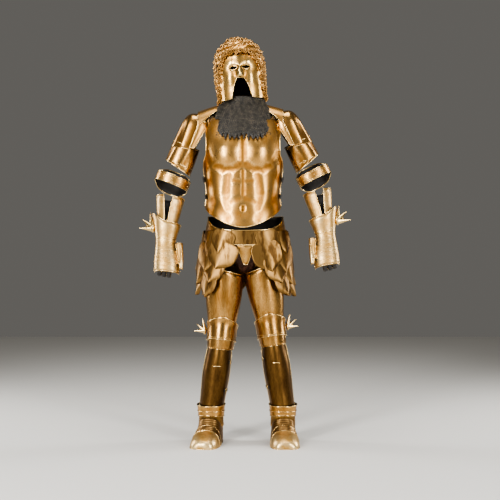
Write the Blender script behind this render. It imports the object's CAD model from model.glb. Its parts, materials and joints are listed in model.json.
# %% [markdown]
# # A gilded suit of plate armour, dressed
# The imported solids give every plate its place. Here each plate gets its smooth hammered skin, its
# rolled edges and its finish. Then come the small things: mail rings, curls, spikes, single
# scales, rivets, buckles and the fine lames of the shoes.

import json
import math
import random

import bmesh
import bpy
from mathutils import Matrix, Vector
from mathutils.bvhtree import BVHTree


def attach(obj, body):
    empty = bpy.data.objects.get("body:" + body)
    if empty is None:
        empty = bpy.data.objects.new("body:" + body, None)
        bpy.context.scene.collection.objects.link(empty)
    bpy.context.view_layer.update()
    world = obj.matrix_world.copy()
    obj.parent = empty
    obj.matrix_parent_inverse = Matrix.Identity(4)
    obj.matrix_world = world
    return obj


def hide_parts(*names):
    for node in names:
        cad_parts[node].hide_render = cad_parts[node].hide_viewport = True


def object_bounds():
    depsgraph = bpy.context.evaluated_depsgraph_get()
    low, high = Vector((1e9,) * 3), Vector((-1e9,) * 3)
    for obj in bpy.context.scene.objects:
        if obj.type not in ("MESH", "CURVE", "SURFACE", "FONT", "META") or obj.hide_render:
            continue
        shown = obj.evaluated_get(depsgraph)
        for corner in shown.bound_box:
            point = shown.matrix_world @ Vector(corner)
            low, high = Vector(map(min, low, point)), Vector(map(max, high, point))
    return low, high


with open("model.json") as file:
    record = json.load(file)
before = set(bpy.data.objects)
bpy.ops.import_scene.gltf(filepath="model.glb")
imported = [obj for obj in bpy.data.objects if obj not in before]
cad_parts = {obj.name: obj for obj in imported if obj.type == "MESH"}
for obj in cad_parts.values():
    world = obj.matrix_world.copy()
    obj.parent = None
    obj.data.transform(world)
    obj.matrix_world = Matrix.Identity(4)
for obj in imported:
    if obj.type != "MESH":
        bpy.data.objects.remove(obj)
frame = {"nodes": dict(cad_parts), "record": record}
NODES = frame["nodes"]
BODY_OF = {node: body for body, nodes in frame["record"]["behaviour"]["bodies"].items() for node in nodes}
cad_low, cad_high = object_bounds()
FLOOR = cad_low.z
MM = 0.001
chance = random.Random(7)
print("nodes", len(NODES), "height", round(cad_high.z - cad_low.z, 3))

# %% [markdown]
# ## Camera
# The photograph looks level at the hips from about five metres, a little to one side. A long lens
# keeps the helmet and the shoes in the same proportion.

# %% Camera
camera = bpy.data.objects.new("camera", bpy.data.cameras.new("camera"))
bpy.context.scene.collection.objects.link(camera)
camera.location = (0.032, -5.0, -0.619)
camera.rotation_euler = (math.radians(90), 0, 0)
camera.data.lens = 18 / math.tan(math.radians(13))
camera.data.clip_end = 40
bpy.context.scene.camera = camera
print("lens", round(camera.data.lens, 1))

# %% [markdown]
# ## Colours and nodes
# Colours are written as they look on a screen and turned to linear light once. One small
# function adds a shader node, sets it and links it.


# %% Colour and node helpers
def colour(code):
    parts = [int(code[k : k + 2], 16) / 255 for k in (1, 3, 5)]
    linear = [c / 12.92 if c <= 0.04045 else ((c + 0.055) / 1.055) ** 2.4 for c in parts]
    return (*linear, 1)


def new_material(name, metallic, roughness):
    material = bpy.data.materials.new(name)
    material.use_nodes = True
    shader = material.node_tree.nodes["Principled BSDF"]
    shader.inputs["Metallic"].default_value = metallic
    shader.inputs["Roughness"].default_value = roughness
    return material, material.node_tree, shader


def node(tree, kind, settings=None, inputs=None, stops=()):
    """Adds a node. inputs holds plain values and other nodes' outputs, stops a colour ramp's stops."""
    made = tree.nodes.new(kind)
    for key, value in (settings or {}).items():
        setattr(made, key, value)
    for key, value in (inputs or {}).items():
        if isinstance(value, bpy.types.NodeSocket):
            tree.links.new(value, made.inputs[key])
        else:
            made.inputs[key].default_value = value
    elements = made.color_ramp.elements if stops else []
    while len(elements) < len(stops):
        elements.new(0.5)
    for element, (at, code) in zip(elements, stops):
        element.position = at
        element.color = colour(code) if isinstance(code, str) else (code, code, code, 1)
    return made


print("linear gold", [round(c, 3) for c in colour("#A87638")])

# %% [markdown]
# ## Gilt bronze
# The plates are sheet metal, hammered over a form, gilded and left to age. Gilding is warm and
# half bright. Dark patina stays where a cloth can't reach, in the hollows, and the raised parts
# are rubbed pale. Each skin carries an attribute, relief, that is 0 in a hollow, 0.5 on plain metal
# and 1 on a ridge, so the wear follows the shape. Clouds of tarnish and fine specks break it up.
# The shoes also carry the attribute lame, whose fraction rises across each lame like a saw tooth.

# %% Gilt bronze
TARNISH = 26  # clouds to a metre, each about 38 mm across
SPECKS = 170  # to a metre, about 6 mm, coarser than real specks so that they show
HAMMER_MARKS = 55  # to a metre, about 18 mm
SPECK_SHARE = 0.22
LAME_SHARE = 0.34


def gilt_bronze(name, dark, middle, bright, roughness=0.34, streak=1.0, grime=0.5, lames=False):
    """Aged gilding. streak draws its clouds out along Z, and grime says how much they show."""
    material, tree, shader = new_material(name, 1, roughness)
    place = node(tree, "ShaderNodeTexCoord").outputs["Object"]
    drawn_out = {"Vector": place, "Scale": (1, 1, 1 / streak)}
    stretched = node(tree, "ShaderNodeMapping", inputs=drawn_out).outputs[0]
    clouds = {"Vector": stretched, "Scale": TARNISH, "Detail": 6, "Roughness": 0.62}
    cloud = node(tree, "ShaderNodeTexNoise", inputs=clouds).outputs["Fac"]
    specks = {"Vector": stretched, "Scale": SPECKS, "Detail": 4, "Roughness": 0.6}
    fine = node(tree, "ShaderNodeTexNoise", inputs=specks).outputs["Fac"]
    relief = node(tree, "ShaderNodeAttribute", {"attribute_name": "relief"}).outputs["Fac"]
    multiply_add = {"operation": "MULTIPLY_ADD"}
    clouded = node(tree, "ShaderNodeMath", multiply_add, {0: cloud, 1: grime, 2: relief}).outputs[0]
    wear = node(tree, "ShaderNodeMath", multiply_add, {0: fine, 1: SPECK_SHARE, 2: clouded}).outputs[0]
    if lames:
        along = node(tree, "ShaderNodeAttribute", {"attribute_name": "lame"}).outputs["Fac"]
        step = node(tree, "ShaderNodeMath", {"operation": "FRACT"}, {0: along}).outputs[0]
        stepped = node(tree, "ShaderNodeMath", multiply_add, {0: step, 1: LAME_SHARE, 2: wear}).outputs[0]
        level = {0: stepped, 1: LAME_SHARE / 2}
        wear = node(tree, "ShaderNodeMath", {"operation": "SUBTRACT"}, level).outputs[0]
    start = 0.5 * (grime + SPECK_SHARE)
    shades = [(max(0.02, start + 0.12), dark), (start + 0.42, middle), (min(1, start + 0.78), bright)]
    shade = node(tree, "ShaderNodeValToRGB", inputs={"Fac": wear}, stops=shades)
    tree.links.new(shade.outputs["Color"], shader.inputs["Base Color"])
    gloss = [(start + 0.2, min(0.9, roughness + 0.24)), (start + 0.6, roughness - 0.06)]
    dull = node(tree, "ShaderNodeValToRGB", inputs={"Fac": wear}, stops=gloss)
    tree.links.new(dull.outputs["Color"], shader.inputs["Roughness"])
    marks = {"Vector": place, "Scale": HAMMER_MARKS, "Detail": 2, "Roughness": 0.5}
    dents = node(tree, "ShaderNodeTexNoise", inputs=marks).outputs["Fac"]
    bumps = [(dents, 0.28, 0.0012), (fine, 0.2, 0.0004)] + ([(step, 1.0, 0.004)] if lames else [])
    normal = None
    for height, strength, distance in bumps:
        sockets = {"Height": height, "Strength": strength, "Distance": distance}
        sockets.update({"Normal": normal} if normal else {})
        normal = node(tree, "ShaderNodeBump", inputs=sockets).outputs[0]
    tree.links.new(normal, shader.inputs["Normal"])
    return material


GILT = gilt_bronze("gilt_bronze_sheet", "#38240F", "#A87638", "#DDB271", 0.33, streak=1.6, grime=0.4)
THIGH_GILT = gilt_bronze("deep_gilt_thigh_sheet", "#2A1B0C", "#845C2C", "#C79C60", 0.28, streak=4)
MASK_GILT = gilt_bronze("mask_gilt_sheet", "#43290F", "#B48340", "#EACB8A", 0.3, grime=0.35)
# Browned by heat and handling, the darkest plates of the suit.
GREAVE_GILT = gilt_bronze("browned_gilt_sheet", "#150D07", "#412C16", "#75572F", 0.38, streak=3, grime=0.45)
# Rubbed until the gilding is thin, pale and chalky.
GLOVE_GILT = gilt_bronze("pale_worn_gilt_sheet", "#5A4024", "#BE9352", "#EACF9A", 0.4)
SHOE_GILT = gilt_bronze("laminated_gilt_shoe", "#20150B", "#5C4224", "#8F6F46", 0.42, lames=True)
CURL_GILT = gilt_bronze("cast_gilt_curl", "#3A2614", "#8E6838", "#CCA26A", 0.4, grime=0.6)
# Streaked lengthways with soot, so the overlaps read as dark lines.
SCALE_GILT = gilt_bronze("streaked_gilt_scale", "#20160D", "#553D21", "#83643A", 0.42, streak=5, grime=0.8)
EDGE_GILT = gilt_bronze("rubbed_gilt_edge", "#7A5526", "#D0A25A", "#F2D9A0", 0.26, grime=0.3)
print("gilt finishes", sum("gilt" in material.name for material in bpy.data.materials))

# %% [markdown]
# ## The other finishes
# Mail is drawn wire, bronzed nearly black and bright only where rings rub. Inside, the plates are
# left sooty. Straps are waxed leather and the cloth behind the skirt is reddish mail on leather.


# %% Wire, lining and leather
WIRE_PATCHES = 60  # to a metre, about 17 mm
PORES = 520  # to a metre, about 2 mm, coarser than real pores so that they show
LEATHER_PATCHES = 70  # to a metre, about 14 mm


def bronzed_wire(name, dark, bright):
    """Drawn wire, dark and half dull, with brighter patches where it rubs."""
    material, tree, shader = new_material(name, 1, 0.42)
    place = node(tree, "ShaderNodeTexCoord").outputs["Object"]
    patches = {"Vector": place, "Scale": WIRE_PATCHES, "Detail": 4}
    patch = node(tree, "ShaderNodeTexNoise", inputs=patches).outputs["Fac"]
    shade = node(tree, "ShaderNodeValToRGB", inputs={"Fac": patch}, stops=[(0.35, dark), (0.68, bright)])
    tree.links.new(shade.outputs["Color"], shader.inputs["Base Color"])
    return material


def waxed_leather(name, dark, bright):
    """Leather dulled by wax and soot, its pores as a fine bump."""
    material, tree, shader = new_material(name, 0, 0.55)
    place = node(tree, "ShaderNodeTexCoord").outputs["Object"]
    pores = node(tree, "ShaderNodeTexVoronoi", inputs={"Vector": place, "Scale": PORES}).outputs["Distance"]
    patches = {"Vector": place, "Scale": LEATHER_PATCHES, "Detail": 5}
    patch = node(tree, "ShaderNodeTexNoise", inputs=patches).outputs["Fac"]
    shade = node(tree, "ShaderNodeValToRGB", inputs={"Fac": patch}, stops=[(0.3, dark), (0.75, bright)])
    tree.links.new(shade.outputs["Color"], shader.inputs["Base Color"])
    grain = {"Height": pores, "Strength": 0.35, "Distance": 0.0004}
    tree.links.new(node(tree, "ShaderNodeBump", inputs=grain).outputs[0], shader.inputs["Normal"])
    return material


MAIL_WIRE = bronzed_wire("bronzed_steel_wire", "#35312C", "#8A7F6C")
RED_WIRE = bronzed_wire("reddened_bronze_wire", "#3A2018", "#8E5E42")
LINING = waxed_leather("sooty_plate_lining", "#120F0C", "#2A231B")
STRAP_LEATHER = waxed_leather("black_waxed_leather", "#0E0B09", "#2B221B")
MAIL_BACKING = waxed_leather("dark_padded_backing", "#161412", "#302C26")
RED_LEATHER = waxed_leather("red_brown_backing_leather", "#24130D", "#4A2A1C")
print("materials", len(bpy.data.materials))

# %% [markdown]
# ## A plate's outer skin
# A solid plate is two skins 2 mm apart, joined by a narrow rim. To dress it, only the outer skin is
# wanted. Seen from a face, the wall is thin under both skins and deep under the rim, so a short
# probe tells them apart. The larger skin that is left is the outer one. Its triangles are paired
# into quads, so that subdivision rounds the facets away evenly.

# %% Islands and open edges of a skin
def islands(bm, fold):
    """Groups of faces that meet at less than the fold angle."""
    seen, groups = set(), []
    for face in bm.faces:
        if face in seen:
            continue
        group, queue = [], [face]
        seen.add(face)
        while queue:
            at = queue.pop()
            group.append(at)
            for edge in at.edges:
                if len(edge.link_faces) == 2 and edge.calc_face_angle() > fold:
                    continue
                for near in edge.link_faces:
                    if near not in seen:
                        seen.add(near)
                        queue.append(near)
        groups.append(group)
    return groups


def boundary_loops(bm):
    """Closed runs of vertices round every open edge, longest first."""
    left = dict.fromkeys(edge for edge in bm.edges if edge.is_boundary)
    runs = []
    while left:
        edge = left.popitem()[0]
        run = [edge.verts[0], edge.verts[1]]
        while True:
            following = next((e for e in run[-1].link_edges if e in left), None)
            if following is None:
                break
            left.pop(following)
            run.append(following.other_vert(run[-1]))
        runs.append(run)
    return sorted(runs, key=len, reverse=True)


print("skin helpers ready")

# %% Outer skin
PROBE = 4.42 * MM  # deeper than a wall is thick
FOLD = math.radians(72)
FACES_CENTRE = 0.25
RIVET_HOLE_ROUND = 24 * MM


def rim_faces(bm, centre):
    """Faces that aren't the skin's: rims and slivers, or all that look inwards from a given centre."""
    tree = BVHTree.FromBMesh(bm)
    rim = []
    for face in bm.faces:
        start = face.calc_center_median()
        if face.calc_area() < 1e-12:
            rim.append(face)
        elif centre is not None:
            if face.normal.dot((start - centre).normalized()) < FACES_CENTRE:
                rim.append(face)
        elif any(len(e.link_faces) == 2 and e.calc_face_angle() > FOLD * 0.7 for e in face.edges):
            if tree.ray_cast(start - face.normal * 2e-5, -face.normal, PROBE)[0] is None:
                rim.append(face)
    return rim


def outer_skin(name, centre=None):
    """The outer skin of a solid plate as a sheet of quads, small rivet holes closed."""
    bm = bmesh.new()
    bm.from_mesh(NODES[name].data)
    bmesh.ops.remove_doubles(bm, verts=bm.verts, dist=2e-6)
    bm.normal_update()
    bmesh.ops.delete(bm, geom=rim_faces(bm, centre), context="FACES")
    groups = islands(bm, FOLD if centre is None else math.pi)
    keep = set(max(groups, key=lambda group: sum(face.calc_area() for face in group)))
    bmesh.ops.delete(bm, geom=[face for face in bm.faces if face not in keep], context="FACES")
    for run in boundary_loops(bm):
        if not all(v.is_valid for v in run):
            continue
        around_hole = sum((b.co - a.co).length for a, b in zip(run, run[1:]))
        if around_hole < RIVET_HOLE_ROUND and len(set(run)) == len(run) - 1:
            ring = list(dict.fromkeys(run))
            if bmesh.ops.contextual_create(bm, geom=ring)["faces"]:
                bmesh.ops.dissolve_verts(bm, verts=[v for v in ring if v.is_valid])
    bmesh.ops.triangulate(bm, faces=[face for face in bm.faces if len(face.verts) > 4])
    bmesh.ops.join_triangles(
        bm,
        faces=[face for face in bm.faces if len(face.verts) == 3],
        angle_face_threshold=math.radians(179),
        angle_shape_threshold=math.radians(179),
    )
    return bm


sample = outer_skin("cuisse_left")
print("quads and triangles on a thigh skin", len(sample.faces))
sample.free()

# %% [markdown]
# ## From mesh to piece
# A mesh is finished by modifiers that are worked in at once, where the next step needs the result.
# A piece is the object that stays in the scene: at the origin, on its body, with its slot and with
# the solids that it takes the place of.


# %% Mesh and piece helpers
def mesh_from(bm, name):
    mesh = bpy.data.meshes.new(name)
    bm.to_mesh(mesh)
    bm.free()
    return mesh


def finished_mesh(mesh, **modifiers):
    """The mesh with its modifiers worked in. Each is a kind and its settings."""
    obj = bpy.data.objects.new("work", mesh)
    bpy.context.scene.collection.objects.link(obj)
    for kind, settings in modifiers.items():
        modifier = obj.modifiers.new(kind, kind)
        for key, value in settings.items():
            setattr(modifier, key, value)
    graph = bpy.context.evaluated_depsgraph_get()
    graph.update()
    made = bpy.data.meshes.new_from_object(obj.evaluated_get(graph))
    bpy.data.objects.remove(obj)
    return made


def smoothed(mesh, levels):
    """Subdivision that keeps an open edge's corners."""
    rounding = {"levels": levels, "render_levels": levels, "boundary_smooth": "PRESERVE_CORNERS"}
    return finished_mesh(mesh, SUBSURF=rounding)


def mark_values(mesh, name, values):
    """An attribute with one value for each vertex."""
    mesh.attributes.new(name, "FLOAT", "POINT").data.foreach_set("value", values)


def walled(obj, thickness, lined=True):
    """The sheet's wall, inwards, with the object's second material on the inside where it is lined."""
    wall = obj.modifiers.new("wall", "SOLIDIFY")
    wall.thickness, wall.offset = thickness * MM, -1
    wall.material_offset = 1 if lined else 0


def piece(name, mesh, body, materials, replaces=()):
    obj = bpy.data.objects.new(name, mesh)
    bpy.context.scene.collection.objects.link(obj)
    mesh.materials.clear()
    for material in materials:
        mesh.materials.append(material)
    mesh.polygons.foreach_set("use_smooth", [True] * len(mesh.polygons))
    if "relief" not in mesh.attributes:
        mark_values(mesh, "relief", [0.6] * len(mesh.vertices))
    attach(obj, body)
    if replaces:
        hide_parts(*replaces)
    return obj


# %% [markdown]
# ## Relief and edges
# Wear needs to know where a skin is hollow and where it stands up. For each vertex the mean height
# of its neighbours over its own tangent plane says so, and a few rounds of averaging spread it.
# A rolled edge is a wire along the skin's open edge, which is what an armourer rolls the sheet over.


# %% Relief
def mark_relief(mesh, gain=3.5, rounds=4):
    """The attribute relief. An open edge counts as a little above the middle."""
    bm = bmesh.new()
    bm.from_mesh(mesh)
    bm.normal_update()
    heights = []
    for v in bm.verts:
        near = [e.other_vert(v).co - v.co for e in v.link_edges]
        if not near or v.is_boundary:
            heights.append(None)
            continue
        slope = sum(step.dot(v.normal) / max(step.length_squared, 1e-10) for step in near) / len(near)
        heights.append(-slope / 100)
    inner = sorted(height for height in heights if height is not None)
    middle = inner[len(inner) // 2] if inner else 0.0
    heights = [middle + 0.04 if height is None else height for height in heights]
    links = [[e.other_vert(v).index for e in v.link_edges] for v in bm.verts]
    for _ in range(rounds):
        spread = [sum(heights[j] for j in near) / max(len(near), 1) for near in links]
        heights = [0.5 * own + 0.5 * other for own, other in zip(heights, spread)]
    bm.free()
    mark_values(mesh, "relief", [0.5 + 0.42 * math.tanh(gain * (height - middle)) for height in heights])


print("relief helper ready")


# %% Wires along edges and cuts
def tube_mesh(paths, radius, sides=2, closed=False):
    """A round wire along each path. A path is points, or points with a thickness each."""
    data = bpy.data.curves.new("wire", "CURVE")
    data.dimensions = "3D"
    data.bevel_depth = radius
    data.bevel_resolution = sides
    data.use_fill_caps = not closed
    for path in paths:
        spline = data.splines.new("POLY")
        spline.points.add(len(path) - 1)
        for point, at in zip(spline.points, path):
            point.co = (*at[:3], 1)
            point.radius = at[3] if len(at) > 3 else 1
        spline.use_cyclic_u = closed
    obj = bpy.data.objects.new("wire", data)
    bpy.context.scene.collection.objects.link(obj)
    graph = bpy.context.evaluated_depsgraph_get()
    graph.update()
    made = bpy.data.meshes.new_from_object(obj.evaluated_get(graph))
    bpy.data.objects.remove(obj)
    return made


def joined(meshes, name):
    bm = bmesh.new()
    for mesh in meshes:
        bm.from_mesh(mesh)
    return mesh_from(bm, name)


def open_edges(mesh):
    """The open edges of a skin as closed runs of points."""
    bm = bmesh.new()
    bm.from_mesh(mesh)
    runs = [[v.co.copy() for v in run[:-1]] for run in boundary_loops(bm) if len(run) > 8]
    bm.free()
    return runs


def cut_lines(mesh, point, normal, keep=lambda p: True, lift=0.0):
    """Where a plane cuts a skin, as runs of points lifted off it."""
    bm = bmesh.new()
    bm.from_mesh(mesh)
    bm.normal_update()
    everything = bm.verts[:] + bm.edges[:] + bm.faces[:]
    cut = bmesh.ops.bisect_plane(bm, geom=everything, plane_co=point, plane_no=normal)["geom_cut"]
    edges = [g for g in cut if isinstance(g, bmesh.types.BMEdge)]
    edges = dict.fromkeys(e for e in edges if keep((e.verts[0].co + e.verts[1].co) / 2))
    runs = []
    while edges:
        edge = edges.popitem()[0]
        run = [edge.verts[0], edge.verts[1]]
        for grow_end in (True, False):
            while True:
                tip = run[-1] if grow_end else run[0]
                following = next((e for e in tip.link_edges if e in edges), None)
                if following is None:
                    break
                edges.pop(following)
                other = following.other_vert(tip)
                if grow_end:
                    run.append(other)
                else:
                    run.insert(0, other)
        if len(run) > 3:
            runs.append([v.co + v.normal * lift for v in run])
    bm.free()
    return runs


print("wire helpers ready")

# %% [markdown]
# ## Dressing a plate
# Each plate is dressed in the same way: skin, smooth, marked for wear, given its wall by a Solidify
# modifier that colours the inside with the lining, and edged with a thin rolled wire.

# %% Plate dressing
SKINS = {}


def dress(
    name,
    material=GILT,
    centre=None,
    levels=2,
    edge=1.5,
    thick=1.7,
    shape=None,
    gain=3.5,
    widen=None,
    keep=None,
):
    """Dresses a solid. widen lets out the skin's holes, keep says which faces stay, and shape gives
    the millimetres by which a point moves along its normal."""
    cage = outer_skin(name, centre)
    for run in boundary_loops(cage)[1:] if widen else ():
        ring = list(dict.fromkeys(run))
        middle = sum((v.co for v in ring), Vector()) / len(ring)
        for v in ring:
            v.co = middle + Vector(a * b for a, b in zip(v.co - middle, widen))
    mesh = smoothed(mesh_from(cage, name), levels)
    if keep:
        bm = bmesh.new()
        bm.from_mesh(mesh)
        outside = [face for face in bm.faces if not keep(face.calc_center_median())]
        bmesh.ops.delete(bm, geom=outside, context="FACES")
        mesh = mesh_from(bm, name)
    if shape:
        normals = [v.normal.copy() for v in mesh.vertices]
        for v, normal in zip(mesh.vertices, normals):
            v.co += normal * shape(v.co) * MM
        mesh.update()
    mark_relief(mesh, gain)
    SKINS[name] = mesh.copy()
    skin = piece(f"{name}_skin", mesh, BODY_OF[name], [material, LINING], [name])
    walled(skin, thick)
    runs = open_edges(mesh)
    if edge and runs:
        rolled = tube_mesh(runs, edge * MM, closed=True)
        piece(f"{name}_edge", rolled, BODY_OF[name], [EDGE_GILT])
    return skin


print("plates to dress", sum("strap" not in name for name in NODES))

# %% [markdown]
# ## Cuirass
# The breastplate is beaten to the muscles of the chest. The solids hold the large forms, and the
# creases between them are deepened here, because they carry the dark patina that draws the muscles.

# %% Cuirass
def groove(p, a, b, wide, deep):
    """A soft crease of one depth along the line from a to b, on x and z in millimetres."""
    px, pz = abs(p.x) / MM, p.z / MM + 1500
    ax, az, bx, bz = *a, *b
    length = (bx - ax) ** 2 + (bz - az) ** 2
    t = min(1, max(0, ((px - ax) * (bx - ax) + (pz - az) * (bz - az)) / length))
    off = math.hypot(px - ax - t * (bx - ax), pz - az - t * (bz - az)) / wide
    return -deep * (1 - off * off) ** 2 if off < 1 else 0.0


CHEST_CREASES = [
    # from (x, height), to (x, height), half width, depth
    ((0, 1262), (0, 1400), 24, 3.0),  # breastbone
    ((12, 1266), (46, 1246), 24, 4.2),  # under the chest muscle, four parts
    ((46, 1246), (86, 1242), 24, 4.6),
    ((86, 1242), (126, 1262), 24, 4.2),
    ((126, 1262), (164, 1316), 26, 3.0),
    ((0, 1130), (0, 1236), 16, 2.4),  # middle of the belly
    ((6, 1190), (46, 1194), 16, 1.4),  # across the belly
    ((66, 1226), (78, 1140), 26, 2.6),  # side of the belly, two parts
    ((78, 1140), (70, 1070), 26, 1.6),
    ((140, 1100), (70, 1024), 30, 1.8),  # groin
    ((0, 1064), (0, 1074), 15, 5.5),  # navel
    ((10, 1114), (56, 1098), 20, 1.6),
]
BACK_CREASES = [
    ((0, 1060), (0, 1470), 22, 5),  # spine
    ((30, 1110), (78, 1230), 26, 3.6),  # edge of the broad back muscle
    ((78, 1230), (150, 1290), 26, 3.6),
    ((36, 1300), (84, 1400), 24, 3),  # shoulder blade
    ((84, 1400), (140, 1420), 24, 3),
]


def chest_shape(p):
    return min(groove(p, *row) for row in CHEST_CREASES)


def back_shape(p):
    return min(groove(p, *row) for row in BACK_CREASES)


dress("breastplate", levels=3, edge=2.0, shape=chest_shape, gain=4.5)
dress("backplate", levels=3, edge=2.0, shape=back_shape, gain=4.5)
print("cuirass faces", len(SKINS["breastplate"].polygons), len(SKINS["backplate"].polygons))

# %% [markdown]
# ## Helmet
# The mask is one hammered face with open eyes, let out at its sides to meet the bowl. The bowl's
# solid is lumpy with curls, so its skin is taken as every face that looks out from the middle.

# %% Helmet
HEAD_FRAME = Matrix.Translation((-0.002, 0, 0.065)) @ Matrix.Rotation(math.radians(-5.5), 4, "Y")


def broad_sides(p):
    """The mask's sides let out to the bowl's rim."""
    across = abs((HEAD_FRAME.inverted() @ p).x) / MM
    return 8.0 * min(1, max(0, (across - 30) / 42))


dress("helmet_mask", MASK_GILT, levels=3, edge=1.8, gain=3, widen=(1.4, 1, 2.0), shape=broad_sides)
dress("helmet_skull", centre=HEAD_FRAME @ Vector((0, 0, 0.13)), levels=1, edge=0, gain=2)
print("helmet faces", len(SKINS["helmet_mask"].polygons), len(SKINS["helmet_skull"].polygons))

# %% [markdown]
# ## Curls
# A curl is a wire that winds inwards and rises like a snail shell. One is made, and copies are set
# in staggered rings on the bowl wherever a probe from the head's middle finds it. A last row runs
# along the bowl's front edge and frames the mask.


# %% Curls
def snail_curl(turns=1.7, outer=10.5, rise=6.5, wire=3.3, steps=9):
    path = []
    count = int(turns * steps)
    for k in range(count + 1):
        t = k / count
        angle = 2 * math.pi * turns * t
        radius = outer * (1 - 0.86 * t)
        point = Vector((radius * math.cos(angle), radius * math.sin(angle), rise * t)) * MM
        path.append((*point, 1.15 - 0.35 * t))
    return tube_mesh([path], wire * MM, sides=1)


def placed_copies(mesh, places, name):
    bm = bmesh.new()
    for place in places:
        start = len(bm.verts)
        bm.from_mesh(mesh)
        bm.verts.ensure_lookup_table()
        bmesh.ops.transform(bm, matrix=place, verts=bm.verts[start:])
    return mesh_from(bm, name)


def facing(point, normal, turn=0.0, size=1.0):
    """A frame at a point whose Z looks along the normal, its Y as near up as it can be."""
    side = Vector((0, 0, 1)).cross(normal)
    if side.length < 1e-3:
        side = Vector((1, 0, 0))
    side.normalize()
    up = normal.cross(side)
    turned = Matrix((side, up, normal)).transposed().to_4x4()
    return Matrix.Translation(point) @ turned @ Matrix.Rotation(turn, 4, "Z") @ Matrix.Scale(size, 4)


def tree_of(mesh):
    return BVHTree.FromPolygons([v.co for v in mesh.vertices], [p.vertices[:] for p in mesh.polygons])


HEAD_RADIUS, DOME_FROM, DOME_RISE = 112, 150, 132
CURL_ROW, CURL_STEP = 18, 20
skull_tree = tree_of(SKINS["helmet_skull"])
curl_places = []
for row, height in enumerate(range(4, 276, CURL_ROW)):
    above = max(0, height - DOME_FROM)
    around = 2 * math.pi * HEAD_RADIUS * math.sqrt(max(0.03, 1 - (above / DOME_RISE) ** 2))
    count = max(3, int(around / CURL_STEP))
    lift = above / 130
    start = HEAD_FRAME @ Vector((0, 0, min(height, DOME_FROM) * MM))
    for k in range(count):
        angle = 2 * math.pi * (k + 0.5 * (row % 2)) / count
        level = 1 - lift * 0.8
        way = Vector((math.cos(angle) * level, math.sin(angle) * level, lift * 1.1)).normalized()
        hit, normal, _, _ = skull_tree.ray_cast(start, HEAD_FRAME.to_3x3() @ way)
        if hit is None:
            continue
        if normal.dot(way) < 0:
            normal = -normal
        turn, size = chance.uniform(0, 6.28), chance.uniform(0.9, 1.08)
        curl_places.append(facing(hit - normal * 1.5 * MM, normal, turn, size))
face_edge = max(open_edges(SKINS["helmet_skull"]), key=len)
run_length = 0.0
for a, b in zip(face_edge, face_edge[1:] + face_edge[:1]):
    run_length += (b - a).length
    if run_length < 15.5 * MM or a.y > 0.02:
        continue
    run_length = 0.0
    local = HEAD_FRAME.inverted() @ a
    way = (local - Vector((0, 0.03, min(0.15, local.z)))).normalized()
    way = (HEAD_FRAME.to_3x3() @ (way + Vector((0, -0.6, 0)))).normalized()
    turn, size = chance.uniform(0, 6.28), chance.uniform(1.12, 1.3)
    curl_places.append(facing(a + way * 2 * MM, way, turn, size))
curls = placed_copies(snail_curl(), curl_places, "curls")
mark_relief(curls, 1.2, 2)
piece("helmet_curls", curls, "suit", [CURL_GILT])
print("curls", len(curl_places), "faces", len(curls.polygons))

# %% [markdown]
# ## Mail collar
# Real mail is rings of wire, each through its neighbours. At this distance single rings read as a
# dark sparkling cloth. The rings are set on a backing that follows the solid. Probes go out in
# polar rows from a point inside, so neighbouring rows always meet, and every other row starts half
# a ring on. Rings are tilted by turns to left and right as linked rings lie.


# %% Mail rings
def wire_ring(radius, wire, around=7, section=3):
    bm = bmesh.new()
    bmesh.ops.create_circle(bm, segments=section, radius=wire * MM)
    bmesh.ops.rotate(bm, verts=bm.verts, matrix=Matrix.Rotation(math.radians(90), 3, "X"))
    bmesh.ops.translate(bm, verts=bm.verts, vec=(radius * MM, 0, 0))
    circle = {"angle": 2 * math.pi, "steps": around, "axis": (0, 0, 1), "cent": (0, 0, 0), "use_merge": True}
    bmesh.ops.spin(bm, geom=bm.verts[:] + bm.edges[:], **circle)
    bmesh.ops.remove_doubles(bm, verts=bm.verts, dist=1e-6)
    bmesh.ops.recalc_face_normals(bm, faces=bm.faces)
    return mesh_from(bm, "ring")


RING, RING_WIRE, RING_PITCH = 4.7, 1.0, 8.0
RING_TILT = 0.45


def ring_cloth(skins, name, centre, columns, rises, material, keep=lambda p: True):
    """Rings in rows on skins, wherever a probe from the centre finds one. rises are in degrees."""
    trees = [tree_of(SKINS[skin]) for skin in skins]
    places = []
    for row, rise in enumerate(math.radians(rise) for rise in rises):
        for k in range(columns):
            turn = 2 * math.pi * (k + 0.5 * (row % 2)) / columns
            level = math.cos(rise)
            way = Vector((math.sin(turn) * level, -math.cos(turn) * level, math.sin(rise)))
            hits = [tree.ray_cast(centre, way) for tree in trees]
            hits = [hit for hit in hits if hit[0] is not None and keep(hit[0])]
            if not hits:
                continue
            hit, normal, _, distance = max(hits, key=lambda found: found[3])
            if normal.dot(way) < 0:
                normal = -normal
            size = 2 * math.pi * distance * level / columns / (RING_PITCH * MM)
            tilt = Matrix.Rotation(RING_TILT if row % 2 else -RING_TILT, 4, "Y")
            places.append(facing(hit + normal * 0.9 * MM, normal) @ tilt @ Matrix.Scale(size, 4))
    piece(name, placed_copies(wire_ring(RING, RING_WIRE), places, name), "suit", [material])
    print(name, "rings", len(places))


def in_bib(p):
    """Whether a point of the mail is inside its bib, narrow at the neck, wider below, saw-toothed."""
    across, height = p.x / MM, p.z / MM + 1500
    cell, tooth = divmod(across / 21 + 40.3, 1)
    hem = 1376 + (20 + 20 * math.sin(cell * 2.4) ** 2) * abs(2 * tooth - 1)
    return height > hem and (height > 1478 or abs(across) < 99 + (1500 - height) * 0.24)


NECK_MIDDLE = Vector((0, 0, -4)) * MM
dress("mail_collar", MAIL_BACKING, levels=3, edge=0, thick=1.2, keep=in_bib)
rises = [-56 + 3.3 * k for k in range(32)]
ring_cloth(["mail_collar", "breastplate"], "collar_rings", NECK_MIDDLE, 92, rises, MAIL_WIRE, in_bib)

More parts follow.
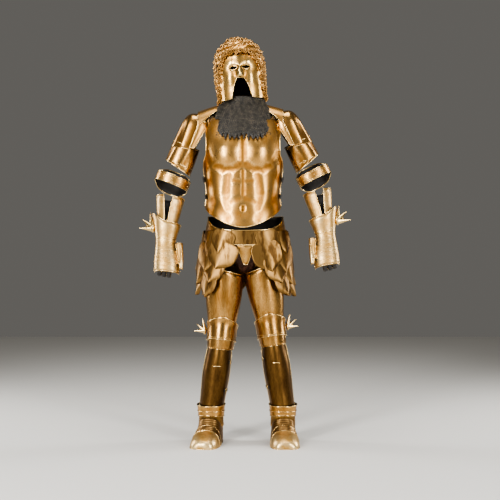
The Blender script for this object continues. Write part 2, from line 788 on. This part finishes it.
# %% [markdown]
# ## Arms
# Each limb has frames of its own, with their origin at a joint and Z along the limb. Heights and
# angles on a limb are then plain numbers, and the right arm is the mirror of its own set.

# %% Arm frames
ARMS = {
    # side: hand, shoulder, splay, swing, forearm splay, forearm swing
    "left": (1, (210, 5, 1455), 27, 6, 11, -13),
    "right": (-1, (229, 5, 1440), 22, 2, 6, -13),
}
UPPER_ARM = 260


def limb_frame(origin, splay, swing=0.0):
    turn = Matrix.Rotation(math.radians(-splay), 4, "Y") @ Matrix.Rotation(math.radians(swing), 4, "X")
    return Matrix.Translation([c * MM for c in origin]) @ turn


FRAMES = {}
for side, (hand, shoulder, splay, swing, fore_splay, fore_swing) in ARMS.items():
    world = Matrix.Translation((0, 0, -1.5)) @ Matrix.Diagonal((hand, 1, 1, 1))
    upper = limb_frame(shoulder, splay, swing)
    elbow = (upper @ Vector((0, 0, -UPPER_ARM * MM))) / MM
    FRAMES[f"upper_{side}"] = world @ upper
    FRAMES[f"elbow_{side}"] = world @ limb_frame(elbow, splay, (swing + fore_swing) / 2)
    FRAMES[f"fore_{side}"] = world @ limb_frame(elbow, fore_splay, fore_swing)
print("arm frames", len(FRAMES))


# %% [markdown]
# ## Spikes
# The spikes are turned cones on a domed boss. Each is a wire that tapers in a hollow curve, which
# catches the light more softly than the solid's straight cone.


# %% Spikes
SPIKE_FAN = [(72, 1.15), (34, 1.0), (-6, 1.0)]  # degrees above level, share of the length
SPIKE_TAPER = [(0, 1.2), (0.22, 0.94), (0.45, 0.64), (0.7, 0.34), (0.88, 0.14), (1, 0.02)]


def spike_fan(place, at, length, radius, boss):
    """Three spikes on a domed boss at a point of a limb's frame, all in millimetres."""
    paths = []
    for rise, share in SPIKE_FAN:
        aim = Vector((math.cos(math.radians(rise)), 0, math.sin(math.radians(rise)))) * length * share
        paths.append([(*(place @ ((Vector(at) + aim * t) * MM)), swell) for t, swell in SPIKE_TAPER])
    bm = bmesh.new()
    bmesh.ops.create_uvsphere(bm, u_segments=24, v_segments=12, radius=boss * MM)
    bmesh.ops.scale(bm, verts=bm.verts, vec=(0.5, 1, 1))
    bmesh.ops.transform(bm, matrix=place @ Matrix.Translation(Vector(at) * MM), verts=bm.verts)
    bmesh.ops.recalc_face_normals(bm, faces=bm.faces)
    bm.from_mesh(tube_mesh(paths, radius * MM, sides=5))
    return mesh_from(bm, "spikes")


print("spikes in a fan", len(SPIKE_FAN))

# %% [markdown]
# ## Relief on the arms
# Raised lines run round elbow bands and gloves: a plane cuts the skin at one height and a wire
# follows the cut. Shallow furrows under the caps and round the tubes hint at muscle, and the
# glove is drawn in at the wrist and let out at the knuckles.


# %% Raised lines and furrows
def level_line(node_name, frame_name, height, radius, name, lift=0.4, keep=None):
    """A raised line round a plate at one height of its limb."""
    place = FRAMES[frame_name]
    near = (lambda p: keep(place.inverted() @ p)) if keep else (lambda p: True)
    point, normal = place @ Vector((0, 0, height * MM)), place.to_3x3() @ Vector((0, 0, 1))
    runs = cut_lines(SKINS[node_name], point, normal, near, lift * MM)
    if runs:
        piece(name, tube_mesh(runs, radius * MM), BODY_OF[node_name], [EDGE_GILT])


def furrows(frame_name, lines, slant, level, fade_top=None):
    """Soft creases down a limb. A line is an angle from the front, a half width and a depth."""
    inverse = FRAMES[frame_name].inverted()

    def shape(p):
        q = (inverse @ p) / MM
        angle = math.degrees(math.atan2(q.x, -q.y)) - (q.z - level) * slant
        fade = min(1, max(0, (fade_top - q.z) / 60)) if fade_top else 1
        offs = [((angle - at) / wide, deep) for at, wide, deep in lines]
        return -sum(deep * (1 - off * off) ** 2 * fade for off, deep in offs if abs(off) < 1)

    return shape


CAP_LINES = [(40, 22, 3.0), (86, 18, 2.0), (138, 22, 3.0)]
TUBE_LINES = [(-34, 26, 3.2), (64, 26, 3.2), (150, 26, 2.6)]


def glove_waist(frame_name):
    """The glove's wrist drawn in by 7 mm and its knuckle end let out by 4 mm."""
    inverse = FRAMES[frame_name].inverted()

    def shape(p):
        height = (inverse @ p).z / MM
        wrist = math.exp(-(((height + 290) / 40) ** 2))
        knuckles = math.exp(-(((height + 404) / 42) ** 2))
        return 4.0 * knuckles - 7.0 * wrist

    return shape


print("furrows", len(CAP_LINES) + len(TUBE_LINES))

# %% [markdown]
# ## Small fitted plates
# Some plates bridge two others, so they are built to fit: rows of points are taken from the
# neighbours' skins, a sheet is drawn through them, and it gets the same wall and rolled edge. The
# yoke covers the shoulder from the mail to the cap, a wing hangs on each inner edge of the cap, and
# the web joins the thumb plate to the back of the glove.


# %% Fitted plates
def strip_mesh(rows, wide):
    """A sheet through rows of points."""
    bm = bmesh.new()
    grid = [[bm.verts.new(p) for p in row] for row in rows]
    for a, b in zip(grid, grid[1:]):
        for k in range(wide - 1):
            bm.faces.new((a[k], a[k + 1], b[k + 1], b[k]))
    bmesh.ops.recalc_face_normals(bm, faces=bm.faces)
    return mesh_from(bm, "strip")


def plate_of(rows, name, material, inside, edge=1.8):
    """A plate with a wall and a rolled edge through rows of points, its back to a point inside."""
    mesh = smoothed(strip_mesh(rows, len(rows[0])), 2)
    if sum((face.center - inside).dot(face.normal) * face.area for face in mesh.polygons) < 0:
        mesh.flip_normals()
    mark_relief(mesh)
    SKINS[name] = mesh.copy()
    walled(piece(name, mesh, "suit", [material, LINING]), 1.7)
    rolled = tube_mesh(open_edges(SKINS[name]), edge * MM, closed=True)
    piece(f"{name}_edge", rolled, "suit", [EDGE_GILT])


def cap_wing(side, front, wide):
    """A narrow plate on the cap's inner edge, tapering down towards the armpit."""
    place = FRAMES[f"upper_{side}"]
    inverse = place.inverted()
    inner = [inverse @ p for run in open_edges(SKINS[f"pauldron_{side}"]) for p in run]
    inner = [q for q in inner if q.x < -6 * MM and q.y * front > 14 * MM and -0.094 < q.z < 0.05]
    inner.sort(key=lambda q: q.z)
    rows = []
    for q in inner[:: max(1, len(inner) // 14)]:
        share = wide * (0.42 + 0.58 * min(1, max(0, (q.z / MM + 94) / 110)))
        steps = [(-share * t, -front * (share * 0.34 * t * t - 1.5), 0) for t in (-0.12, 0.25, 0.62, 1)]
        rows.append([place @ (q + Vector(step) * MM) for step in steps])
    if len(rows) > 3:
        name = f"cap_wing_{'back' if front > 0 else 'front'}_{side}"
        plate_of(rows, name, GILT, place @ Vector((0, 0, -0.02)), 2.0)


def shoulder_yoke(side, hand, outer, top):
    """The plate from the mail to the cap: half a barrel that reaches further down as it goes out."""
    inner, inner_top = 84, 1555
    rows = []
    for k in range(9):
        u = k / 8
        x, ridge, radius = inner + (outer - inner) * u, inner_top + (top - inner_top) * u**1.3, 63 + 3 * u
        reach = 34 + 62 * u**0.8
        turns = [math.radians(reach * (i / 6 - 1)) for i in range(13)]
        row = [(hand * x, radius * math.sin(t), ridge - 1500 - radius * (1 - math.cos(t))) for t in turns]
        rows.append([Vector(point) * MM for point in row])
    plate_of(rows, f"shoulder_yoke_{side}", GILT, Vector((hand * 130, 0, -60)) * MM)


def thumb_web(side):
    """The plate from the back of the glove to the thumb plate, following both."""
    turned = FRAMES[f"fore_{side}"].to_3x3()
    hand_tree, thumb_tree = tree_of(SKINS[f"gauntlet_{side}"]), tree_of(SKINS[f"gauntlet_thumb_{side}"])
    thumb = [v.co for v in SKINS[f"gauntlet_thumb_{side}"].vertices]
    centre = sum(thumb, Vector()) / len(thumb)
    bulge = turned @ Vector((0, -5, 0)) * MM
    rows = []
    for k in range(7):
        guess = centre + turned @ Vector((0, -14, 34 - 11 * k)) * MM
        on_thumb = thumb_tree.find_nearest(guess)[0]
        on_hand = hand_tree.find_nearest(on_thumb)[0]
        across = on_hand - on_thumb
        steps = ((-0.12, 0.6), (0.35, 1), (0.7, 1), (1.12, 0.6))
        rows.append([on_thumb + across * t + bulge * rise for t, rise in steps])
    plate_of(rows, f"thumb_web_{side}", GLOVE_GILT, centre + turned @ Vector((0, 60, 0)) * MM, 1.0)


print("skins so far", len(SKINS))

# %% [markdown]
# ## Arm plates
# Shoulder caps, upper arm tubes, elbow bands, two-part forearms and the long spiked gloves, each
# dressed in the finish it has aged to. The two shoulders stand at different heights, as in the pose.

# %% Arm plates
SHOULDERS = {"left": (28, 184, 1531), "right": (36, 206, 1519)}  # front wing, yoke's reach, its height
GLOVE_LAMES = range(-300, -409, -18)
for side in ARMS:
    upper, fore = f"upper_{side}", f"fore_{side}"
    wing, reach, height = SHOULDERS[side]
    cap_shape, tube_shape = furrows(upper, CAP_LINES, 0.12, -30, 50), furrows(upper, TUBE_LINES, -0.22, -140)
    dress(f"pauldron_{side}", THIGH_GILT, edge=1.6, shape=cap_shape)
    dress(f"rerebrace_{side}", THIGH_GILT, edge=2.6, shape=tube_shape)
    dress(f"couter_{side}", edge=2.4)
    for half in ("outer", "inner"):
        dress(f"vambrace_{half}_{side}", GLOVE_GILT, edge=1.8)
    dress(f"gauntlet_{side}", GLOVE_GILT, edge=2.0, shape=glove_waist(fore))
    dress(f"gauntlet_thumb_{side}", GLOVE_GILT, edge=0.9)
    dress(f"gauntlet_fingers_{side}", GLOVE_GILT, edge=0.7)
    thumb_web(side)
    cap_wing(side, -1, wing)
    cap_wing(side, 1, 24)
    shoulder_yoke(side, ARMS[side][0], reach, height)
    spikes = spike_fan(FRAMES[fore], (62, 0, -232), 66, 14.5, 20)
    piece(f"cuff_spike_fan_{side}", spikes, "suit", [EDGE_GILT], [f"cuff_spikes_{side}"])
    for edge, height in (("upper", 13), ("lower", -13)):
        level_line(f"couter_{side}", f"elbow_{side}", height, 1.5, f"couter_{edge}_line_{side}")
    level_line(f"rerebrace_{side}", upper, -176, 1.3, f"rerebrace_line_{side}")
    for number, height in enumerate(GLOVE_LAMES):
        name = f"gauntlet_lame_{number}_{side}"
        level_line(f"gauntlet_{side}", fore, height, 1.0, name, keep=lambda q: q.y < 0.004)
    level_line(f"gauntlet_{side}", fore, -282, 1.8, f"gauntlet_waist_band_{side}")
print("arm plates dressed", len(SKINS))

# %% [markdown]
# ## Skirt
# The skirt is leaf-shaped scales, each a hammered leaf with a mid rib, riveted at its top and lying
# over the row below. The solids carry one sheet a row. A probe towards the hips finds each leaf's
# seat, and leaves at the flanks are narrower and more cupped, because the hips turn sharply there.

# %% Front of the skirt
dress("hip_band", SCALE_GILT, edge=2.2)
dress("front_lappet", levels=1, edge=1.6)
dress("fork_panel", RED_LEATHER, levels=1, edge=0, thick=1.5)
FORK_MIDDLE = Vector((12, 20, -640)) * MM
rises = [-54 + 2.7 * k for k in range(30)]
ring_cloth(["fork_panel"], "fork_rings", FORK_MIDDLE, 120, rises, RED_WIRE)


# %% Scales
def leaf(width, length, rib=5.0, cup=7.0, columns=6, rows=7):
    """A leaf from a flat grid: drawn in to its outline, ribbed down the middle, tip towards -Y."""
    bm = bmesh.new()
    bmesh.ops.create_grid(bm, x_segments=columns, y_segments=rows, size=0.5)
    for v in bm.verts:
        across, along = v.co.x * 2, 0.5 - v.co.y
        half = 0.5 * width * (1 if along < 0.52 else math.cos((along - 0.52) / 0.48 * math.pi / 2) ** 0.8)
        half = max(half, 0.4) * min(1, 0.7 + 0.3 * along / 0.12)
        ridge = rib * max(0, 1 - abs(across) * 2.6) * math.sin(math.pi * min(1, along * 0.9 + 0.1))
        bend = cup * (1 - across * across) * (0.35 + 0.65 * along) - cup * 0.5
        v.co = Vector((across * half, -along * length, ridge + bend + 2.5 * along * along)) * MM
    bmesh.ops.recalc_face_normals(bm, faces=bm.faces)
    return mesh_from(bm, "leaf")


def hip_seat(angle, height):
    """Where a level probe towards the hips' middle meets the outermost scale row."""
    way = Vector((-math.sin(angle), math.cos(angle), 0))
    start = Vector((12 * MM, 0, (height - 1500) * MM)) - way * 0.4
    found = []
    for row in (1, 2, 3, 4):
        hit, normal, _, distance = ROW_TREES[row].ray_cast(start, way)
        if hit is not None:
            found.append((distance, hit, normal if normal.dot(way) < 0 else -normal))
    return min(found)[1:] if found else None


ROW_TREES = {}
for row in (1, 2, 3, 4):
    bm = outer_skin(f"scale_row_{row}")
    ROW_TREES[row] = BVHTree.FromBMesh(bm)
    bm.free()

LEAF_ROWS = [
    # seat height, number on each side, length, width, angle of the first from the front, lift
    (766, 5, 128, 122, 60, 1.0),
    (828, 6, 138, 130, 48, 3.5),
    (887, 6, 138, 146, 36, 6.0),
    (940, 6, 116, 112, 40, 8.5),
]
LEAN, PITCH = 20, 3.0
leaf_count = 0
for index, (height, number, length, width, gap, lift) in enumerate(LEAF_ROWS):
    meshes = []
    for k in range(2 * number):
        side_of = 1 if k % 2 else -1
        angle = side_of * (gap + (180 - gap) * (k // 2) / (number - 0.5)) + chance.uniform(-2, 2)
        at = hip_seat(math.radians(angle), height)
        if at is None:
            continue
        hit, normal = at
        way = Vector((normal.x, normal.y, 0)).normalized()
        flank = abs(math.sin(math.radians(angle))) ** 4
        wide = width * (1 - 0.3 * flank) * chance.uniform(0.92, 1.06)
        long, rib = length * chance.uniform(0.94, 1.04), chance.uniform(1.5, 3)
        shape = leaf(wide, long, rib, cup=chance.uniform(9, 13) + 8 * flank)
        head = hit + way * (lift - 6) * MM + Vector((0, 0, 0.03))
        out = math.copysign(LEAN, angle) * math.cos(math.radians(angle))
        lean = Matrix.Rotation(math.radians(out + chance.uniform(-6, 6)), 4, "Z")
        pitch = Matrix.Rotation(math.radians(-PITCH - chance.uniform(0, 2.5)), 4, "X")
        shape.transform(facing(head, way) @ lean @ pitch)
        meshes.append(shape)
    leaf_count += len(meshes)
    smooth = finished_mesh(joined(meshes, "leaves"), SUBSURF={"levels": 2, "render_levels": 2})
    mark_relief(smooth, 2)
    made = finished_mesh(smooth, SOLIDIFY={"thickness": 1.5 * MM, "offset": 0})
    row = 4 - index
    piece(f"scale_leaves_{row}", made, "suit", [SCALE_GILT], [f"scale_row_{row}"])
print("leaves", leaf_count)

# %% [markdown]
# ## Legs
# Thigh plates with a keel, knee caps with a boss of spikes, greaves and laminated shoes. The shoes
# are many narrow lames, 12 mm apart. The attribute lame counts them, and the finish turns the count
# into steps.

# %% Leg frames
LEGS = {
    # side: hand, knee, thigh splay, shin splay, ankle, toe out
    "left": (1, (130, 0, 508), 8, 8.6, 184, 2),
    "right": (-1, (99, 0, 492), 3, 8, 147, 9),
}
for side, (hand, knee, thigh, shin, ankle, toe) in LEGS.items():
    world = Matrix.Translation((0, 0, -1.5)) @ Matrix.Diagonal((hand, 1, 1, 1))
    FRAMES[f"thigh_{side}"] = world @ limb_frame(knee, thigh)
    FRAMES[f"knee_{side}"] = world @ limb_frame(knee, (thigh + shin) / 2)
    FRAMES[f"shin_{side}"] = world @ limb_frame(knee, shin)
    toe_out = Matrix.Rotation(math.radians(toe), 4, "Z")
    FRAMES[f"foot_{side}"] = world @ Matrix.Translation((ankle * MM, 0, 0)) @ toe_out

print("leg frames", len(FRAMES) - 6)


# %% Leg plates
def mark_lames(mesh, frame_name, pitch=12):
    """Counts lames along a shoe, from the toe up to the ankle."""
    inverse = FRAMES[frame_name].inverted()
    along = [inverse @ v.co for v in mesh.vertices]
    mark_values(mesh, "lame", [(q.y * 0.62 + q.z * 0.78) / (pitch * MM) for q in along])


LEG_PLATES = [
    # plate, finish, rolled edge
    ("cuisse", THIGH_GILT, 2.0),
    ("poleyn", THIGH_GILT, 2.0),
    ("knee_lame", THIGH_GILT, 1.0),
    ("greave_front", GREAVE_GILT, 1.3),
    ("greave_back", GREAVE_GILT, 1.3),
    ("sabaton_cuff", GILT, 2.2),
    ("sabaton_heel", SHOE_GILT, 1.0),
    ("sabaton_instep", SHOE_GILT, 0),
    ("sabaton_lame", SHOE_GILT, 1.0),
    ("sabaton_toe", GLOVE_GILT, 1.4),
]
for side in LEGS:
    for plate, finish, edge in LEG_PLATES:
        skin = dress(f"{plate}_{side}", finish, edge=edge)
        if finish is SHOE_GILT:
            mark_lames(skin.data, f"foot_{side}")
    knee = f"knee_{side}"
    spikes = spike_fan(FRAMES[knee], (78, 0, 9), 52, 10.5, 17)
    piece(f"knee_spike_fan_{side}", spikes, knee, [EDGE_GILT], [f"knee_spikes_{side}"])
    level_line(f"poleyn_{side}", knee, -10, 1.2, f"poleyn_line_{side}")
    level_line(f"sabaton_cuff_{side}", f"foot_{side}", 142, 2.0, f"ankle_band_{side}", lift=0.8)
print("skins", len(SKINS))

# %% [markdown]
# ## Ankle lames
# Stepped rings fill the ankle between the shoe and its band. A circle is extruded upwards and
# drawn in by turns, so each ring tucks into the one above.


# %% Ankle lames
def ankle_lames(side, low=72, high=124, count=5, wide=58, deep=62):
    bm = bmesh.new()
    step = (high - low) / count
    ring = bmesh.ops.create_circle(bm, segments=32, radius=1)["verts"]
    bmesh.ops.scale(bm, verts=ring, vec=(wide * MM, deep * MM, 1))
    bmesh.ops.translate(bm, verts=ring, vec=(0, 0, low * MM))
    edges = bm.edges[:]
    for rise, grow in [(step * 0.86, 0.955), (step * 0.14, 1.035)] * count:
        made = bmesh.ops.extrude_edge_only(bm, edges=edges)["geom"]
        ring = {g for g in made if isinstance(g, bmesh.types.BMVert)}
        edges = [g for g in made if isinstance(g, bmesh.types.BMEdge) and ring.issuperset(g.verts)]
        bmesh.ops.translate(bm, verts=list(ring), vec=(0, 0, rise * MM))
        bmesh.ops.scale(bm, verts=list(ring), vec=(grow, grow, 1))
    bmesh.ops.recalc_face_normals(bm, faces=bm.faces)
    bmesh.ops.transform(bm, matrix=FRAMES[f"foot_{side}"], verts=bm.verts)
    if FRAMES[f"foot_{side}"].determinant() < 0:
        bmesh.ops.reverse_faces(bm, faces=bm.faces)
    mesh = mesh_from(bm, "ankle_lames")
    mark_relief(mesh, 1)
    rings = piece(f"ankle_lames_{side}", mesh, f"shin_{side}", [GLOVE_GILT, LINING])
    walled(rings, 1.5, lined=False)


for side in LEGS:
    ankle_lames(side)


# %% [markdown]
# ## Rivets, buckles and straps
# Domed rivets hold the plates to their straps. A probe from outside finds each seat, so a rivet
# sits on the skin and not in the air.


# %% Fastenings
def rivet_dome(radius, height=2.0):
    bm = bmesh.new()
    bmesh.ops.create_uvsphere(bm, u_segments=8, v_segments=6, radius=radius * MM)
    bmesh.ops.scale(bm, verts=bm.verts, vec=(1, 1, height / radius))
    return mesh_from(bm, "rivet")


TREES = {name: tree_of(mesh) for name, mesh in SKINS.items()}


def seat(name, frame_name, start, aim):
    """Where a probe in a limb's frame, in millimetres, meets a plate. The point and its normal."""
    place = FRAMES[frame_name]
    begin = place @ (Vector(start) * MM)
    way = (place @ (Vector(aim) * MM) - begin).normalized()
    hit, normal, _, _ = TREES[name].ray_cast(begin, way)
    return hit and (hit, -normal if normal.dot(way) > 0 else normal)


PROBE_FROM = 200
RIVET_ROWS = [
    # name, plate, frame, heights, angles from the front, radius
    ("couter_rivets", "couter", "elbow", (0,), range(-170, 171, 34), 3.0),
    ("rerebrace_rivets", "rerebrace", "upper", (-100,), (20, 70, 120, 160), 2.8),
    ("pauldron_rivets", "pauldron", "upper", (-84,), (30, 60, 90, 120, 150), 2.8),
    ("gauntlet_rivets", "gauntlet", "fore", (-268,), (-80, -50, -20, 10, 40, 70), 2.6),
    ("poleyn_rivets", "poleyn", "knee", (26,), (-80, 80), 3.6),
    ("greave_hinge_rivets", "greave_front", "shin", (-110, -150), (72, 84), 2.8),
    ("lame_rivets", "knee_lame", "knee", (-30,), (-76, 76), 3.2),
]
total = 0
for side in LEGS:
    for name, plate, limb, heights, angles, radius in RIVET_ROWS:
        node_name, places = f"{plate}_{side}", []
        for height in heights:
            for angle in (math.radians(angle) for angle in angles):
                start = (PROBE_FROM * math.sin(angle), -PROBE_FROM * math.cos(angle), height)
                found = seat(node_name, f"{limb}_{side}", start, (0, 0, height))
                places += [facing(*found)] if found else []
        domes = placed_copies(rivet_dome(radius), places, name)
        piece(f"{name}_{side}", domes, BODY_OF[node_name], [EDGE_GILT])
        total += len(places)
print("rivets", total)

# %% [markdown]
# Each greave has a staple in front, and two short straps with buckles on its inner side.


# %% Staples, straps and buckles
def strap_end(size, place):
    """A bar of leather with its edges rounded."""
    bm = bmesh.new()
    bmesh.ops.create_cube(bm, size=1)
    bmesh.ops.scale(bm, verts=bm.verts, vec=Vector(size) * MM)
    rounding = {"affect": "EDGES", "segments": 2, "profile": 0.5, "material": -1}
    bmesh.ops.bevel(bm, geom=bm.edges[:], offset=min(size) * 0.22 * MM, **rounding)
    bmesh.ops.transform(bm, matrix=place, verts=bm.verts)
    return mesh_from(bm, "strap_end")


STAPLE = [(-17, 0, 0), (-16, 0, 5), (-13, 0, 6.5), (0, 0, 7), (13, 0, 6.5), (16, 0, 5), (17, 0, 0)]
BUCKLE = [(-6, -9, 2), (6, -9, 2), (6, 9, 2), (-6, 9, 2)]
for side in LEGS:
    plate, shin = f"greave_front_{side}", f"shin_{side}"
    found = seat(plate, shin, (0, -PROBE_FROM, -142), (0, 0, -142))
    if found:
        points = [facing(*found) @ (Vector(p) * MM) for p in STAPLE]
        piece(f"greave_staple_{side}", tube_mesh([points], 2.4 * MM), shin, [EDGE_GILT])
    for number, height in enumerate((-120, -250)):
        found = seat(plate, shin, (-PROBE_FROM, -24, height), (0, -24, height))
        if found:
            hit, normal = found
            place = facing(hit + normal * 1.6 * MM, normal)
            strap = strap_end((34, 13, 2.4), place)
            piece(f"greave_strap_{number}_{side}", strap, shin, [STRAP_LEATHER])
            buckle = tube_mesh([[place @ (Vector(p) * MM) for p in BUCKLE]], 1.5 * MM, closed=True)
            piece(f"greave_buckle_{number}_{side}", buckle, shin, [EDGE_GILT])

straps = [NODES[name].data for name in NODES if "strap" in name]
for strap in straps:
    strap.materials.clear()
    strap.materials.append(STRAP_LEATHER)
print("straps", len(straps))

# %% [markdown]
# ## Studio
# A pale floor and large soft lights. Metal shows what it reflects, so two tall panels in front give
# long highlights, and the darker gaps between the lights bring out the forms.

# %% Floor and lights
bm = bmesh.new()
bmesh.ops.create_grid(bm, x_segments=1, y_segments=1, size=6)
floor = bpy.data.objects.new("studio_floor", mesh_from(bm, "studio_floor"))
floor.location.z = FLOOR - 0.0005
bpy.context.scene.collection.objects.link(floor)
paper, _, paper_shader = new_material("pale_studio_paper", 0, 0.8)
paper_shader.inputs["Base Color"].default_value = colour("#CFCCC6")
floor.data.materials.append(paper)

world = bpy.data.worlds.new("studio")
bpy.context.scene.world = world
world.use_nodes = True
world.node_tree.nodes["Background"].inputs["Color"].default_value = colour("#B9B6B0")
world.node_tree.nodes["Background"].inputs["Strength"].default_value = 0.27


def softbox(name, place, aim, wide, tall, power):
    data = bpy.data.lights.new(name, "AREA")
    data.shape = "RECTANGLE"
    data.size, data.size_y = wide, tall
    data.energy = power
    light = bpy.data.objects.new(name, data)
    light.location = place
    light.rotation_euler = (Vector(aim) - Vector(place)).to_track_quat("-Z", "Y").to_euler()
    bpy.context.scene.collection.objects.link(light)


softbox("key", (-1.9, -3.2, 0.45), (0, 0, -0.5), 0.7, 3.0, 175)
softbox("fill", (2.1, -3.0, 0.2), (0, 0, -0.6), 0.6, 3.0, 105)
softbox("top", (0, -0.6, 2.4), (0, 0, -0.5), 1.6, 1.6, 60)
softbox("side_left", (-2.6, 0.8, 0.2), (0, 0, -0.6), 0.6, 2.4, 60)
softbox("side_right", (2.6, 0.8, 0.2), (0, 0, -0.6), 0.6, 2.4, 60)
bpy.context.scene.view_settings.view_transform = "AgX"
bpy.context.scene.view_settings.look = "AgX - Medium High Contrast"
print("lights", len(bpy.data.lights))
